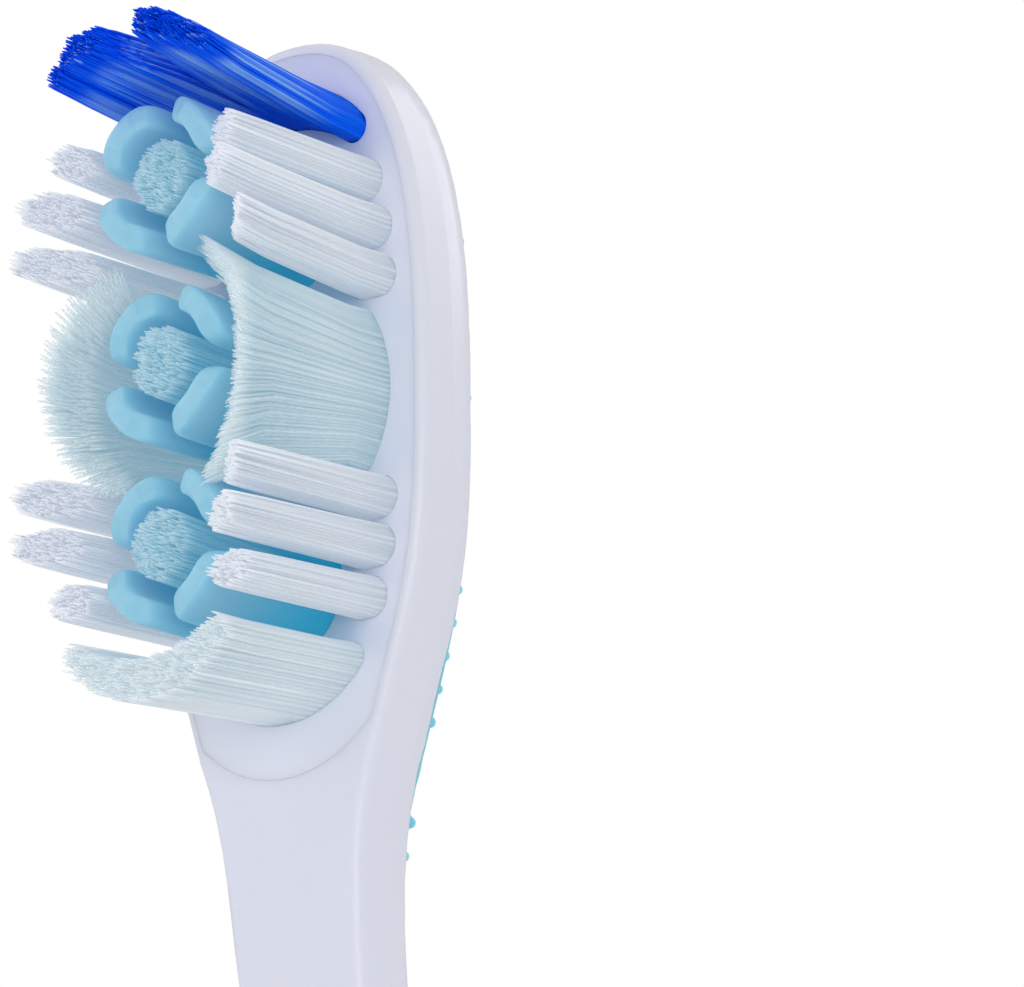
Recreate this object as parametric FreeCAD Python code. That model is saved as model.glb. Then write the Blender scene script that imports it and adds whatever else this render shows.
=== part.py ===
import FreeCAD, Part
import math
import os

from FreeCAD import Vector

# Manual toothbrush, upright: +Z runs from the butt of the handle to the tip
# of the head, the bristles point along -Y and the origin is the middle of the
# flat face at the butt. "Drop" is a distance measured down from the head tip.

# Overall sizes
overall_length = 190.0
head_length = 44.0
head_width = 15.8
head_thickness = 4.7
neck_width = 7.1
neck_thickness = 4.4
handle_width = 13.0
handle_thickness = 11.4
face_offset = 6.0
bend_start = 30.0
neck_sweep = 1.2
back_edge_radius = 2.8
neck_back_radius = 2.4
front_edge_radius = 0.5
butt_edge_radius = 3.0
join_drop = 31.0
overrun = 20.0

# Outline of the head, seen from the front. A tip pair is a share of the half
# width and a share of the head length. A taper pair is a share of the way
# from the neck's half width to the head's, and a share of the head length.
tip_outline_shares = ((0.0, 0.0), (0.38, 0.0145), (0.677, 0.067), (0.899, 0.168), (1.0, 0.37))
taper_outline_shares = ((0.874, 0.557), (0.414, 0.705), (0.133, 0.83), (0.025, 0.93), (0.0, 1.0))

# Neck stations below the join with the head, down to the end of the neck:
# share of that run, and share of the way from the neck's width to the head's.
neck_station_shares = ((0.19, 0.216), (0.42, 0.092), (0.69, 0.0345), (1.0, 0.0))

# Handle stations, from the neck down to the butt. Each row holds the height as
# a share of the handle length, the width as a share of the handle width, and
# then the front, the back, the front corner radius and the back corner radius
# as shares of half the handle thickness.
upper_station_shares = (
    (0.978, 0.546, -0.755, 0.0, 0.09, 0.43),
    (0.89, 0.575, -0.58, 0.26, 0.16, 0.46),
)
handle_station_shares = (
    (0.79, 0.66, -0.61, 0.58, 0.35, 0.56),
    (0.685, 0.87, -0.82, 0.84, 0.56, 0.7),
    (0.58, 1.0, -1.0, 1.0, 0.7, 0.8),
    (0.44, 0.92, -0.88, 1.0, 0.7, 0.8),
    (0.26, 0.96, -0.92, 0.965, 0.7, 0.8),
    (0.17, 0.95, -0.91, 0.94, 0.7, 0.8),
    (0.1, 0.925, -0.885, 0.905, 0.7, 0.8),
    (0.045, 0.9, -0.86, 0.87, 0.7, 0.8),
    (0.0, 0.88, -0.84, 0.84, 0.7, 0.8),
)

# Tuft plate, welded into the front of the head
plate_rim = 0.55
plate_thickness = 1.8
plate_end_drop = 32.5
plate_end_radius = 7.1
plate_edge_chamfer = 0.012
weld_ledge = 0.2
melt_space = 0.55
weld_gap = 0.02
plate_fit = 0.005

# Cups and the tufts that stand round them
cup_drops = (8.0, 16.2, 24.2)
cup_heights = (8.7, 8.2, 8.0)
cup_outer_radius = 3.2
cup_wall = 1.15
cup_rim_wall = 0.9
cup_flare = 0.3
cup_slot = 0.75
cup_rim_slot = 1.05
cup_root = 0.7
cup_lean = 4.0
cup_rim_radius = 0.35
centre_tuft_radius = 1.5
centre_tuft_length = 8.4
ring_outer_radius = 5.95
tuft_gap = 0.02
melt_rim = 0.1
melt_thickness = 0.42
lean_at_tip = 5.5
lean_per_drop = 0.27

# Arc-shaped tufts: thickness in the middle and at the ends, half angle, length
tip_tuft_middle, tip_tuft_end, tip_tuft_half_angle = 1.85, 1.4, 46.0
tip_tuft_length, tip_tuft_side_length = 11.4, 9.6
tip_notch_depth, tip_notch_half_width = 2.9, 1.1
tip_tuft_lean = 7.5
side_arc_middle, side_arc_end, side_arc_half_angle = 1.65, 1.15, 34.0
side_arc_length, side_arc_end_length, side_arc_inner_length = 9.9, 8.9, 8.2
heel_tuft_middle, heel_tuft_end, heel_tuft_half_angle = 1.9, 1.3, 47.0
heel_tuft_length, heel_tuft_end_length = 9.6, 8.4

# Side tufts. Each row holds which cup the tuft stands beside, how far it is
# past that cup as a share of the ring radius, its inner and outer edge as shares
# of half the head width, and its inner and outer length as shares of the length.
side_tuft_radius = 0.92
side_tuft_length = 10.0
side_tuft_shares = {
    "upper_1": (0, -0.19, 0.442, 0.692, 0.86, 0.95),
    "upper_2": (0, 0.18, 0.449, 0.763, 0.9, 1.08),
    "upper_3": (0, 0.546, 0.455, 0.795, 0.81, 1.1),
    "lower_1": (2, -0.532, 0.481, 0.814, 0.81, 1.06),
    "lower_2": (2, -0.1765, 0.4615, 0.8, 0.89, 1.06),
    "lower_3": (2, 0.193, 0.449, 0.742, 0.86, 0.88),
}

# Tongue cleaner, moulded into the back of the head and the neck. A pair is a
# share of the cleaner's half width and a share of its length below its top.
cleaner_top_drop = 1.45
cleaner_length = 40.85
cleaner_width = 13.1
cleaner_depth = 1.4
cleaner_crown = 0.1
cleaner_outline_shares = (
    (0.0, 0.0),
    (0.435, 0.023),
    (0.77, 0.087),
    (0.947, 0.185),
    (1.0, 0.361),
    (0.92, 0.562),
    (0.62, 0.733),
    (0.352, 0.87),
    (0.262, 0.972),
    (0.0, 1.0),
)
ridge_drops = (10.0, 21.0, 30.8)
ridge_outer_radii = (4.2, 3.8, 3.15)
ridge_width = 0.95
ridge_height = 0.35
ridge_arc_angle = 66.0
nub_radius = 0.45
nub_tip_radius = 0.2
nub_height = 0.6
nub_sink = 0.45
nub_pitch = 1.28
nub_row_pitch = 1.4
nub_column_share = 0.72
nub_first_drop = 4.5
nub_edge_margin = 0.95
nub_last_drop = 40.0
gate_mark_drop = 4.3

# Soft grips on the handle
grip_depth = 1.1
grip_proud = 0.25
thumb_grip_low, thumb_grip_high, thumb_grip_width = 62.0, 106.0, 7.6
back_grip_low, back_grip_high, back_grip_width = 22.0, 112.0, 6.0
thumb_rib_pitch = 3.2
back_rib_pitch = 7.0
rib_width = 1.3
rib_height = 0.4
rib_margin = 5.0

face_y = -face_offset
back_y = face_y + head_thickness
back_sweep = neck_sweep + neck_thickness - head_thickness
handle_length = overall_length - head_length


def height_at(drop):
    """Height above the butt of a point that lies a drop below the head tip."""
    return overall_length - drop


def arc_depth(drop, depth, sweep):
    """Depth of a face that is flat down to the bend and then follows an arc."""
    run = head_length - bend_start
    past = min(max(drop - bend_start, 0), run)
    radius = (run ** 2 + sweep ** 2) / (2 * sweep)
    return depth + radius - math.sqrt(radius ** 2 - past ** 2)


def prism(face, low_y, high_y):
    """Extrude a face that lies in the XZ plane from one depth to another."""
    moved = face.translated(Vector(0, low_y, 0))
    return moved.extrude(Vector(0, high_y - low_y, 0))


def offset_points(pairs, grow):
    """Push a half outline outward by grow, along the normal at each point."""
    moved = []
    last = len(pairs) - 1
    for index, (x, drop) in enumerate(pairs):
        before, after = pairs[max(index - 1, 0)], pairs[min(index + 1, last)]
        along_x, along_drop = after[0] - before[0], after[1] - before[1]
        if x == 0:
            along_x, along_drop = (1 if index == 0 else -1), 0
        size = math.hypot(along_x, along_drop)
        moved.append((x + grow * along_drop / size, drop - grow * along_x / size))
    return moved


def head_half_outline(grow):
    """Half outline of head and neck as pairs of half width and drop."""
    half_head, half_neck = head_width / 2, neck_width / 2
    pairs = [(w * half_head, d * head_length) for w, d in tip_outline_shares]
    for width_share, drop_share in taper_outline_shares:
        half = half_neck + width_share * (half_head - half_neck)
        pairs.append((half, drop_share * head_length))
    return offset_points(pairs, grow)


def head_plan(grow, end_drop):
    """Front view of the head, down to a drop, as a flat face."""
    pairs = head_half_outline(grow)
    right = [Vector(x, 0, height_at(drop)) for x, drop in reversed(pairs)]
    left = [Vector(-x, 0, height_at(drop)) for x, drop in pairs[1:]]
    curve = Part.BSplineCurve()
    up = Vector(0, 0, 1)
    curve.interpolate(Points=right + left, InitialTangent=up, FinalTangent=-up)
    edge = curve.toShape()
    face = Part.Face(Part.Wire([edge, Part.makeLine(left[-1], right[0])]))
    reach = head_width + overrun
    corner = Vector(-reach, -reach, height_at(end_drop))
    keep = Part.makeBox(2 * reach, 2 * reach, end_drop + overrun, corner)
    return face.common(keep).Faces[0]


def side_slab(front, back):
    """Slab across the head between two depths, bent back along the neck."""
    middle_drop = (bend_start + head_length) / 2

    def point(drop, depth, sweep):
        return Vector(-overrun, arc_depth(drop, depth, sweep), height_at(drop))

    edges = []
    for depth, sweep in ((front, neck_sweep), (back, back_sweep)):
        drops = (-overrun, bend_start, middle_drop, head_length)
        above, start, middle, end = [point(drop, depth, sweep) for drop in drops]
        edges.append(Part.makeLine(above, start))
        edges.append(Part.Arc(start, middle, end).toShape())
    for drop in (-overrun, head_length):
        edges.append(Part.makeLine(point(drop, front, neck_sweep), point(drop, back, back_sweep)))
    face = Part.Face(Part.Wire(Part.__sortEdges__(edges)))
    return face.extrude(Vector(2 * overrun, 0, 0))


def edges_at_depth(solid, depth):
    """Edges of the outline of a flat face that lies at one depth."""
    found = []
    for edge in solid.Edges:
        box = edge.BoundBox
        if max(abs(box.YMin - depth), abs(box.YMax - depth)) < weld_gap and box.ZLength > weld_gap:
            found.append(edge)
    return found


def head_block(grow):
    """Flat part of the head with its rounded edges, down to the join."""
    front, back = face_y - grow, back_y + grow
    block = prism(head_plan(grow, join_drop), front, back)
    block = block.makeFillet(back_edge_radius + grow, edges_at_depth(block, back))
    return block.makeFillet(front_edge_radius + grow, edges_at_depth(block, front))


def station_wire(height, width, front, back, front_radius, back_radius):
    """Rounded rectangle that is one cross-section of the neck or handle."""
    half = width / 2
    corners = (
        (half - front_radius, front + front_radius, front_radius, -90),
        (half - back_radius, back - back_radius, back_radius, 0),
        (back_radius - half, back - back_radius, back_radius, 90),
        (front_radius - half, front + front_radius, front_radius, 180),
    )
    arcs = []
    for x, y, radius, first_angle in corners:
        points = []
        for angle in (first_angle, first_angle + 45, first_angle + 90):
            turn = math.radians(angle)
            points.append(Vector(x + radius * math.cos(turn), y + radius * math.sin(turn), height))
        arcs.append(Part.Arc(*points).toShape())
    edges = []
    for arc, following in zip(arcs, arcs[1:] + arcs[:1]):
        edges.append(arc)
        edges.append(Part.makeLine(arc.Vertexes[-1].Point, following.Vertexes[0].Point))
    return Part.Wire(edges)


def back_radius(drop):
    """Radius of the back edges, which gets smaller along the neck."""
    share = min(max((drop - join_drop) / (head_length - join_drop), 0), 1)
    return back_edge_radius + share * (neck_back_radius - back_edge_radius)


def neck_wires(grow):
    """Cross-sections from just below the join to the end of the neck."""
    wires = []
    for run_share, width_share in neck_station_shares:
        drop = join_drop + run_share * (head_length - join_drop)
        width = neck_width + width_share * (head_width - neck_width) + 2 * grow
        front = arc_depth(drop, face_y, neck_sweep) - grow
        back = arc_depth(drop, back_y, back_sweep) + grow
        radii = (front_edge_radius + grow, back_radius(drop) + grow)
        wires.append(station_wire(height_at(drop), width, front, back, *radii))
    return wires


def handle_wires(rows, grow):
    """Cross-sections of the handle, one for each row of shares."""
    half = handle_thickness / 2
    wires = []
    for height_share, width_share, front, back, front_radius, back_radius in rows:
        height = height_share * handle_length
        width = width_share * handle_width + 2 * grow
        depths = (front * half - grow, back * half + grow)
        radii = (front_radius * half + grow, back_radius * half + grow)
        wires.append(station_wire(height, width, *depths, *radii))
    return wires


def handle_form(grow):
    """Thick part of the handle, grown outward by grow."""
    return Part.makeLoft(handle_wires(handle_station_shares, grow), True, False)


def body_form(grow):
    """Whole outside of head, neck and handle, grown outward by grow."""
    block = head_block(grow)
    end_face = min(block.Faces, key=lambda face: face.BoundBox.ZMax)
    wires = [end_face.OuterWire] + neck_wires(grow)
    wires += handle_wires(upper_station_shares + handle_station_shares, grow)
    return block.fuse(Part.makeLoft(wires, True, False)).removeSplitter().Solids[0]


def disc(x, drop, radius):
    """Round face in the XZ plane."""
    circle = Part.makeCircle(radius, Vector(x, 0, height_at(drop)), Vector(0, 1, 0))
    return Part.Face(Part.Wire(circle))


def obround_face(start, end, radius):
    """Slot-shaped face in the XZ plane between two end centres."""
    along = (end - start).normalize()
    across = Vector(along.z, 0, -along.x) * radius
    edges = [
        Part.Arc(start + across, start - along * radius, start - across).toShape(),
        Part.makeLine(start - across, end - across),
        Part.Arc(end - across, end + along * radius, end + across).toShape(),
        Part.makeLine(end + across, start + across),
    ]
    return Part.Face(Part.Wire(edges))


def crescent_face(drop, facing, middle, end, half_angle, grow):
    """Crescent in the XZ plane that stands round a cup, grown by grow.

    facing is the direction of its middle, counted from +X toward the tip.
    """
    centre = Vector(0, 0, height_at(drop))
    outer = ring_outer_radius + grow

    def point(angle, radius):
        turn = math.radians(facing + angle)
        return centre + Vector(radius * math.cos(turn), 0, radius * math.sin(turn))

    end_inner = ring_outer_radius - end - grow
    end_middle = ring_outer_radius - end / 2
    bulge = half_angle + math.degrees((end / 2 + grow) / end_middle)
    first_outer, last_outer = point(-half_angle, outer), point(half_angle, outer)
    first_inner, last_inner = point(-half_angle, end_inner), point(half_angle, end_inner)
    arcs = (
        (first_outer, point(0, outer), last_outer),
        (last_outer, point(bulge, end_middle), last_inner),
        (last_inner, point(0, ring_outer_radius - middle - grow), first_inner),
        (first_inner, point(-bulge, end_middle), first_outer),
    )
    return Part.Face(Part.Wire([Part.Arc(*arc).toShape() for arc in arcs]))


def fan_lean(drop):
    """Lean toward the head tip of a tuft at a drop, in degrees."""
    return lean_at_tip - lean_per_drop * drop


def leaning_prism(face, lean, low, high):
    """Extrude a face of the XZ plane along the lean of its tuft.

    low and high are heights above the face of the head, negative inside it.
    """
    slope = math.tan(math.radians(lean))
    start = face.translated(Vector(0, face_y - low, low * slope))
    return start.extrude(Vector(0, low - high, (high - low) * slope))


def trim_side(points):
    """Prism along the head that keeps what lies below a top line.

    Each point is a distance sideways and a height above the face.
    """
    left, right = points[0][0], points[-1][0]
    closed = list(points) + [(right, -overrun), (left, -overrun), points[0]]
    corners = [Vector(x, face_y - up, height_at(head_length + overrun)) for x, up in closed]
    face = Part.Face(Part.makePolygon(corners))
    return face.extrude(Vector(0, 0, head_length + 2 * overrun))


def trim_length(low_drop, low_height, middle_height, high_drop, high_height, slope=0, level_x=0):
    """Prism across the head that keeps what lies below a top arc.

    The arc has its full height at level_x, and rises sideways by slope.
    """
    width = 2 * head_width
    rise = slope * (-head_width - level_x)
    deep = face_y + overrun + width * abs(slope)
    drops = (low_drop, (low_drop + high_drop) / 2, high_drop)
    ups = (low_height + rise, middle_height + rise, high_height + rise)
    top = [Vector(-head_width, face_y - up, height_at(drop)) for drop, up in zip(drops, ups)]
    low_end = Vector(-head_width, deep, top[0].z)
    high_end = Vector(-head_width, deep, top[2].z)
    edges = [
        Part.Arc(*top).toShape(),
        Part.makeLine(top[2], high_end),
        Part.makeLine(high_end, low_end),
        Part.makeLine(low_end, top[0]),
    ]
    return Part.Face(Part.Wire(edges)).extrude(Vector(width, -width * slope, 0))


class Tuft:
    """One tuft: its section for any growth, its lean and its trimmed top."""

    def __init__(self, name, section, lean, length, trim=None):
        self.name, self.section, self.lean = name, section, lean
        self.length, self.trim = length, trim

    def solid(self):
        """Bristles, from their melted end behind the plate to their tips."""
        bristles = leaning_prism(self.section(0), self.lean, -plate_thickness, self.length)
        if self.trim:
            bristles = bristles.common(self.trim)
        deep = -plate_thickness - melt_thickness
        melted = leaning_prism(self.section(melt_rim), self.lean, deep, -plate_thickness)
        return bristles.fuse(melted).removeSplitter().Solids[0]

    def hole(self):
        """Space that the tuft takes in the plate, with its clearance."""
        deep = -plate_thickness - melt_thickness
        return leaning_prism(self.section(tuft_gap), self.lean, deep, plate_thickness)


def side_tuft(key, side, name):
    """Tuft with a slot-shaped section, on one side of the head."""
    cup, past, inner_share, outer_share, inner_length_share, outer_length_share = side_tuft_shares[key]
    drop = cup_drops[cup] + past * ring_outer_radius
    inner, outer = inner_share * head_width / 2, outer_share * head_width / 2
    inner_length = inner_length_share * side_tuft_length
    outer_length = outer_length_share * side_tuft_length
    height = height_at(drop)
    start = Vector(side * (inner + side_tuft_radius), 0, height)
    end = Vector(side * (outer - side_tuft_radius), 0, height)

    def section(grow):
        return obround_face(start, end, side_tuft_radius + grow)

    slope = (outer_length - inner_length) / (outer - inner)
    line = [(side * x, inner_length + slope * (x - inner)) for x in (0, head_width)]
    return Tuft(name, section, fan_lean(drop), outer_length, trim_side(sorted(line)))


def centre_tuft(index, name):
    """Round tuft in the middle of a cup."""
    drop = cup_drops[index]

    def section(grow):
        return disc(0, drop, centre_tuft_radius + grow)

    return Tuft(name, section, cup_lean, centre_tuft_length)


def tip_tuft():
    """Arc at the tip of the head, with two raised lobes and a notch."""
    drop = cup_drops[0]

    def section(grow):
        return crescent_face(drop, 90, tip_tuft_middle, tip_tuft_end, tip_tuft_half_angle, grow)

    side, notch = ring_outer_radius, tip_tuft_length - tip_notch_depth
    line = [
        (-side, tip_tuft_side_length),
        (-2 * tip_notch_half_width, tip_tuft_length),
        (-tip_notch_half_width, tip_tuft_length),
        (0, notch),
        (tip_notch_half_width, tip_tuft_length),
        (2 * tip_notch_half_width, tip_tuft_length),
        (side, tip_tuft_side_length),
    ]
    return Tuft("tip_tuft", section, tip_tuft_lean, tip_tuft_length, trim_side(line))


def side_arc(side, name):
    """Crescent tuft beside the middle cup, domed and higher on its outer side."""
    drop = cup_drops[1]
    facing = 0 if side > 0 else 180

    def section(grow):
        return crescent_face(drop, facing, side_arc_middle, side_arc_end, side_arc_half_angle, grow)

    reach = ring_outer_radius * math.sin(math.radians(side_arc_half_angle)) + side_arc_end
    ends = (drop + reach, side_arc_end_length, side_arc_length, drop - reach, side_arc_end_length)
    slope = side * (side_arc_length - side_arc_inner_length) / side_arc_middle
    trim = trim_length(*ends, slope, side * ring_outer_radius)
    return Tuft(name, section, fan_lean(drop), side_arc_length, trim)


def heel_tuft():
    """Crescent tuft at the heel, sloping lower toward the handle."""
    drop = cup_drops[2]

    def section(grow):
        return crescent_face(drop, -90, heel_tuft_middle, heel_tuft_end, heel_tuft_half_angle, grow)

    low, high = drop + ring_outer_radius + heel_tuft_end, drop + heel_tuft_end
    middle_length = (heel_tuft_length + heel_tuft_end_length) / 2 + tuft_gap
    top = trim_length(low, heel_tuft_end_length, middle_length, high, heel_tuft_length)
    return Tuft("heel_tuft", section, fan_lean(drop + ring_outer_radius), heel_tuft_length, top)


def all_tufts():
    """Every tuft of the head."""
    tufts = [tip_tuft(), heel_tuft()]
    tufts += [side_arc(-1, "crescent_tuft_left"), side_arc(1, "crescent_tuft_right")]
    for index, place in enumerate(("upper", "middle", "lower")):
        tufts.append(centre_tuft(index, "cup_tuft_" + place))
    for side, word in ((-1, "left"), (1, "right")):
        for key in side_tuft_shares:
            tufts.append(side_tuft(key, side, "side_tuft_" + word + "_" + key))
    return tufts


def cup_turned(radii, rim_radii, drop, low, high):
    """Ring about the leaning axis of a cup, between two heights.

    radii are the inner and the outer radius at the low end, and rim_radii
    those at the high end.
    """
    lean = math.radians(cup_lean)
    axis = Vector(0, -math.cos(lean), math.sin(lean))
    base = Vector(0, face_y, height_at(drop)) + axis * low
    turned = []
    for radius, rim_radius in zip(radii, rim_radii):
        if radius == rim_radius:
            turned.append(Part.makeCylinder(radius, high - low, base, axis))
        else:
            turned.append(Part.makeCone(radius, rim_radius, high - low, base, axis))
    return turned[1].cut(turned[0])


def cup_slots(drop, height):
    """Two crossed wedges that part a cup into four walls, wider at the rim."""
    slope = math.tan(math.radians(cup_lean))
    reach = cup_outer_radius + cup_flare + overrun
    above = height + cup_wall
    half, rim_half = cup_slot / 2, cup_rim_slot / 2
    middle = height_at(drop)
    tall, wide = [], []
    for share, up in ((-half, 0), (-rim_half, above), (rim_half, above), (half, 0), (-half, 0)):
        tall.append(Vector(share, face_y - up, middle - reach))
        wide.append(Vector(-reach, face_y - up, middle + slope * up + share))
    slots = []
    for corners, along in ((tall, Vector(0, 0, 2 * reach)), (wide, Vector(2 * reach, 0, 0))):
        slots.append(Part.Face(Part.makePolygon(corners)).extrude(along))
    return slots


def polishing_cup(index):
    """Soft cup: a root ring in the plate and four curved walls above it."""
    drop, height = cup_drops[index], cup_heights[index]
    radii = (cup_outer_radius - cup_wall, cup_outer_radius)
    rim_outer = cup_outer_radius + cup_flare
    walls = cup_turned(radii, (rim_outer - cup_rim_wall, rim_outer), drop, 0, height)
    walls = walls.cut(cup_slots(drop, height))
    rims = []
    for edge in walls.Edges:
        low = min(point.y for point in edge.discretize(5))
        high = max(point.y for point in edge.discretize(5))
        if high < face_y - height + cup_wall and high - low < cup_wall:
            rims.append(edge)
    walls = walls.makeFillet(cup_rim_radius, rims)
    root = cup_turned(radii, radii, drop, -cup_root, 0)
    return root.fuse(walls).removeSplitter().Solids[0]


def plate_block(grow, low_y, high_y):
    """Solid with the outline of the tuft plate, grown by grow."""
    outline = prism(head_plan(grow - plate_rim, head_length), low_y, high_y)
    centre_drop = plate_end_drop - plate_end_radius
    reach = head_width + overrun
    corner = Vector(-reach, -reach, height_at(centre_drop) - reach)
    below = Part.makeBox(2 * reach, 2 * reach, reach, corner)
    rounding = prism(disc(0, centre_drop, plate_end_radius + grow), -reach, reach)
    return outline.cut(below.cut(rounding)).Solids[0]


def tuft_plate(tufts):
    """Plate that carries the tufts and the roots of the cups."""
    plate = plate_block(0, face_y, face_y + plate_thickness)
    plate = plate.makeChamfer(plate_edge_chamfer, edges_at_depth(plate, face_y))
    spaces = [tuft.hole() for tuft in tufts]
    radii = (cup_outer_radius - cup_wall - tuft_gap, cup_outer_radius + tuft_gap)
    for drop in cup_drops:
        spaces.append(cup_turned(radii, radii, drop, -cup_root - tuft_gap, cup_root))
    return plate.cut(spaces).removeSplitter().Solids[0]


def cleaner_pairs():
    """Half outline of the tongue cleaner as half widths and drops."""
    half = cleaner_width / 2
    return [(w * half, cleaner_top_drop + d * cleaner_length) for w, d in cleaner_outline_shares]


def cleaner_plan(grow):
    """Outline of the tongue cleaner, grown by grow."""
    pairs = offset_points(cleaner_pairs(), grow)
    right = [Vector(x, 0, height_at(drop)) for x, drop in reversed(pairs)]
    left = [Vector(-x, 0, height_at(drop)) for x, drop in pairs[1:-1]]
    curve = Part.BSplineCurve()
    curve.interpolate(Points=right + left, PeriodicFlag=True)
    return Part.Face(Part.Wire(curve.toShape()))


def half_width_at(pairs, drop):
    """Half width of a half outline at a drop, by straight steps."""
    for (x0, d0), (x1, d1) in zip(pairs, pairs[1:]):
        if d0 <= drop <= d1:
            return x0 + (x1 - x0) * (drop - d0) / (d1 - d0)
    return 0


def back_surface(x, drop):
    """Depth of the cleaner's outside above a point of the back."""
    depth = arc_depth(drop, back_y, back_sweep) + cleaner_crown
    radius = back_radius(drop) + cleaner_crown
    past = abs(x) - (half_width_at(head_half_outline(cleaner_crown), drop) - radius)
    if past <= 0:
        return depth
    return depth - radius + math.sqrt(max(radius ** 2 - past ** 2, 0))


def in_ridge(x, drop):
    """True where a ridge arc covers the cleaner."""
    for centre, outer in zip(ridge_drops, ridge_outer_radii):
        distance = math.hypot(x, drop - centre)
        if outer - ridge_width - nub_tip_radius < distance < outer + nub_tip_radius:
            return True
    return False


def nub_places():
    """Places of the nubs: staggered columns, and a row along each edge."""
    places = []
    pairs = cleaner_pairs()
    columns = int(cleaner_width / 2 / nub_pitch)
    rows = int((nub_last_drop - nub_first_drop) / nub_row_pitch)
    for column in range(-columns, columns + 1):
        for row in range(rows + 1):
            x = column * nub_pitch
            drop = nub_first_drop + (row + (column % 2) / 2) * nub_row_pitch
            edge = half_width_at(pairs, drop) - nub_edge_margin
            if abs(x) <= edge - nub_pitch * nub_column_share:
                places.append((x, drop))
    for row in range(rows + 1):
        drop = nub_first_drop + row * nub_row_pitch
        edge = half_width_at(pairs, drop) - nub_edge_margin
        places += [(-edge, drop), (edge, drop)]
    return [place for place in places if not in_ridge(*place)]


def nub(x, drop):
    """Blunt cone that stands on the cleaner."""
    base = Vector(x, back_surface(x, drop) - nub_sink, height_at(drop))
    steep = (nub_radius - nub_tip_radius) / nub_height
    foot = nub_radius + steep * nub_sink
    return Part.makeCone(foot, nub_tip_radius, nub_sink + nub_height, base, Vector(0, 1, 0))


def ridge_arcs(centre, outer):
    """Four raised arcs of one ring on the cleaner."""
    depth = arc_depth(centre + outer, back_y, back_sweep)
    base = Vector(0, depth - cleaner_depth / 2, height_at(centre))
    size = cleaner_depth / 2 + cleaner_crown + ridge_height
    arcs = []
    for quarter in range(4):
        whole = Part.makeCylinder(outer, size, base, Vector(0, 1, 0), ridge_arc_angle)
        hollow = Part.makeCylinder(outer - ridge_width, size, base, Vector(0, 1, 0))
        arc = whole.cut(hollow)
        arc.rotate(base, Vector(0, 1, 0), 90 * quarter - ridge_arc_angle / 2)
        arcs.append(arc)
    return arcs


def tongue_cleaner():
    """Soft pad in the back of the head, with its ridges and nubs."""
    plan = prism(cleaner_plan(0), back_y - overrun / 2, back_y + overrun)
    floor = side_slab(back_y - cleaner_depth, back_y + overrun)
    pad = plan.common(floor).common(body_form(cleaner_crown)).Solids[0]
    raised = [nub(x, drop) for x, drop in nub_places()]
    raised.append(nub(0, gate_mark_drop - nub_row_pitch))
    for centre, outer in zip(ridge_drops, ridge_outer_radii):
        raised += ridge_arcs(centre, outer)
    return pad.fuse(raised).Solids[0]


def grip_plan(low, high, width, grow):
    """Slot-shaped outline of a grip."""
    half = width / 2
    return obround_face(Vector(0, 0, low + half), Vector(0, 0, high - half), half + grow)


def grip(low, high, width, side, pitch):
    """Soft grip set into one face of the handle, with ribs across it."""
    deep = handle_form(-grip_depth)
    plan = prism(grip_plan(low, high, width, 0), 0, side * overrun)
    pad = plan.common(handle_form(grip_proud)).cut(deep)
    count = int((high - low - 2 * rib_margin) / pitch)
    first = (low + high - count * pitch) / 2
    reach = Vector((width - rib_width) / 2 - grip_proud, 0, 0)
    bars = []
    for index in range(count + 1):
        centre = Vector(0, 0, first + index * pitch)
        bar = obround_face(centre - reach, centre + reach, rib_width / 2)
        bars.append(prism(bar, 0, side * overrun))
    ribs = Part.makeCompound(bars).common(handle_form(grip_proud + rib_height)).cut(deep)
    return pad.fuse(ribs.Solids).Solids[0]


def handle_body():
    """White body: head frame, neck and handle, with all its recesses."""
    body = body_form(0)
    butt_edges = [e for e in body.Edges if e.BoundBox.ZMax < weld_gap]
    body = body.makeFillet(butt_edge_radius, butt_edges)
    seat = plate_block(plate_fit, face_y - overrun, face_y + plate_thickness)
    pocket = plate_block(-weld_ledge, face_y, face_y + plate_thickness + melt_space)
    cleaner = prism(cleaner_plan(weld_gap), back_y - overrun / 2, back_y + overrun)
    cleaner = cleaner.common(side_slab(back_y - cleaner_depth - weld_gap, back_y + overrun))
    cuts = [seat, pocket, cleaner]
    inside = handle_form(-grip_depth - weld_gap)
    for low, high, width, side, _ in grips.values():
        room = prism(grip_plan(low, high, width, weld_gap), 0, side * overrun)
        cuts.append(room.cut(inside))
    for cut in cuts:
        body = body.cut(cut)
    return body.Solids[0]


grips = {
    "thumb_grip": (thumb_grip_low, thumb_grip_high, thumb_grip_width, -1, thumb_rib_pitch),
    "back_grip": (back_grip_low, back_grip_high, back_grip_width, 1, back_rib_pitch),
}


def build_parts():
    """Every sub-part by name."""
    tufts = all_tufts()
    parts = {"handle_body": handle_body(), "tuft_plate": tuft_plate(tufts)}
    parts["tongue_cleaner"] = tongue_cleaner()
    for index, place in enumerate(("upper", "middle", "lower")):
        parts["polishing_cup_" + place] = polishing_cup(index)
    for tuft in tufts:
        parts[tuft.name] = tuft.solid()
    for name, sizes in grips.items():
        parts[name] = grip(*sizes)
    return parts


def main():
    """Write one STEP file for each sub-part."""
    os.makedirs("parts", exist_ok=True)
    for name, shape in build_parts().items():
        shape.exportStep("parts/" + name + ".step")


main()
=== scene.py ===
import enum
import logging
import math
import random
from dataclasses import dataclass

import bmesh
import bpy
from mathutils import Matrix, Vector


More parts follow.
